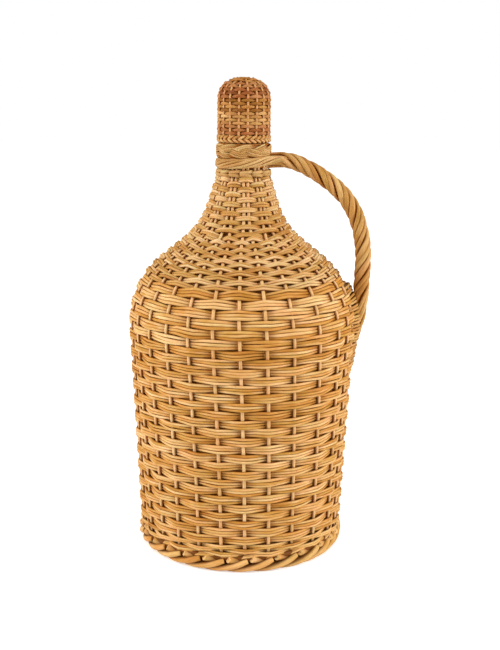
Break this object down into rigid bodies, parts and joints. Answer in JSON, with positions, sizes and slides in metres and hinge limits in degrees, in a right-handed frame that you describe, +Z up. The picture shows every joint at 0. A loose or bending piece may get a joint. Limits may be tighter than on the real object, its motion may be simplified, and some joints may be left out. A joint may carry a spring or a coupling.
{
  "type": "wicker demijohn",
  "caption": "Glass bottle in a close willow weave with a plaited foot, one roped side handle and a cork stopper in a woven cap.",
  "frame": {"origin": "on the bottle's axis, in the plane that the foot border stands on", "axes": "+Z up along the bottle's axis, +X towards the side that carries the handle"},
  "size_m": [0.2074, 0.1953, 0.4002],
  "materials": {
    "green_glass": "clear bottle green glass",
    "willow_weavers": "peeled buff willow rods under a thin clear varnish",
    "willow_stakes": "peeled buff willow, slightly paler than the weavers",
    "willow_foot": "thick peeled buff willow rods, worn at the floor",
    "willow_neck": "split and twisted buff willow",
    "willow_handle": "thick twisted buff willow rods under varnish",
    "cork": "natural cork",
    "cap_stake_willow": "thin peeled willow",
    "cap_willow_russet": "boiled red-brown willow",
    "cap_willow_pale": "peeled pale willow",
    "cap_willow_golden": "golden-brown willow"
  },
  "bodies": {
    "flask": {"glass_bottle": "green_glass", "foot_border": "willow_foot", "base_sticks": "willow_foot", "base_rounds": "willow_foot", "stakes": "willow_stakes", "foot_wale": "willow_foot", "side_course_01": "willow_weavers", "side_course_02": "willow_weavers", "side_course_03": "willow_weavers", "side_course_04": "willow_weavers", "side_course_05": "willow_weavers", "side_course_06": "willow_weavers", "side_course_07": "willow_weavers", "side_course_08": "willow_weavers", "side_course_09": "willow_weavers", "side_course_10": "willow_weavers", "side_course_11": "willow_weavers", "side_course_12": "willow_weavers", "side_course_13": "willow_weavers", "side_course_14": "willow_weavers", "side_course_15": "willow_weavers", "side_course_16": "willow_weavers", "side_course_17": "willow_weavers", "side_course_18": "willow_weavers", "side_course_19": "willow_weavers", "side_course_20": "willow_weavers", "side_course_21": "willow_weavers", "side_course_22": "willow_weavers", "side_course_23": "willow_weavers", "side_course_24": "willow_weavers", "side_course_25": "willow_weavers", "side_course_26": "willow_weavers", "side_course_27": "willow_weavers", "side_course_28": "willow_weavers", "side_course_29": "willow_weavers", "neck_courses_1": "willow_weavers", "neck_courses_2": "willow_weavers", "neck_courses_3": "willow_weavers", "neck_courses_4": "willow_weavers", "neck_courses_5": "willow_weavers", "neck_courses_6": "willow_weavers", "neck_courses_7": "willow_weavers", "neck_courses_8": "willow_weavers", "neck_courses_9": "willow_weavers", "neck_waling": "willow_neck", "handle_wrap": "willow_neck", "neck_collar": "willow_neck", "handle_bow": "willow_handle", "handle_rope": "willow_handle"},
    "stopper": {"cork_stopper": "cork", "cap_border": "cap_stake_willow", "cap_stakes": "cap_stake_willow", "cap_rows_dark": "cap_willow_russet", "cap_rows_pale": "cap_willow_pale", "cap_rows_golden": "cap_willow_golden", "cap_rows_russet": "cap_willow_russet", "cap_crown": "cap_willow_golden"}
  },
  "joints": [
    {"name": "stopper_lift", "type": "slide", "parent": "flask", "child": "stopper", "axis": [0, 0, 1], "range_m": [0, 0.06]}
  ]
}
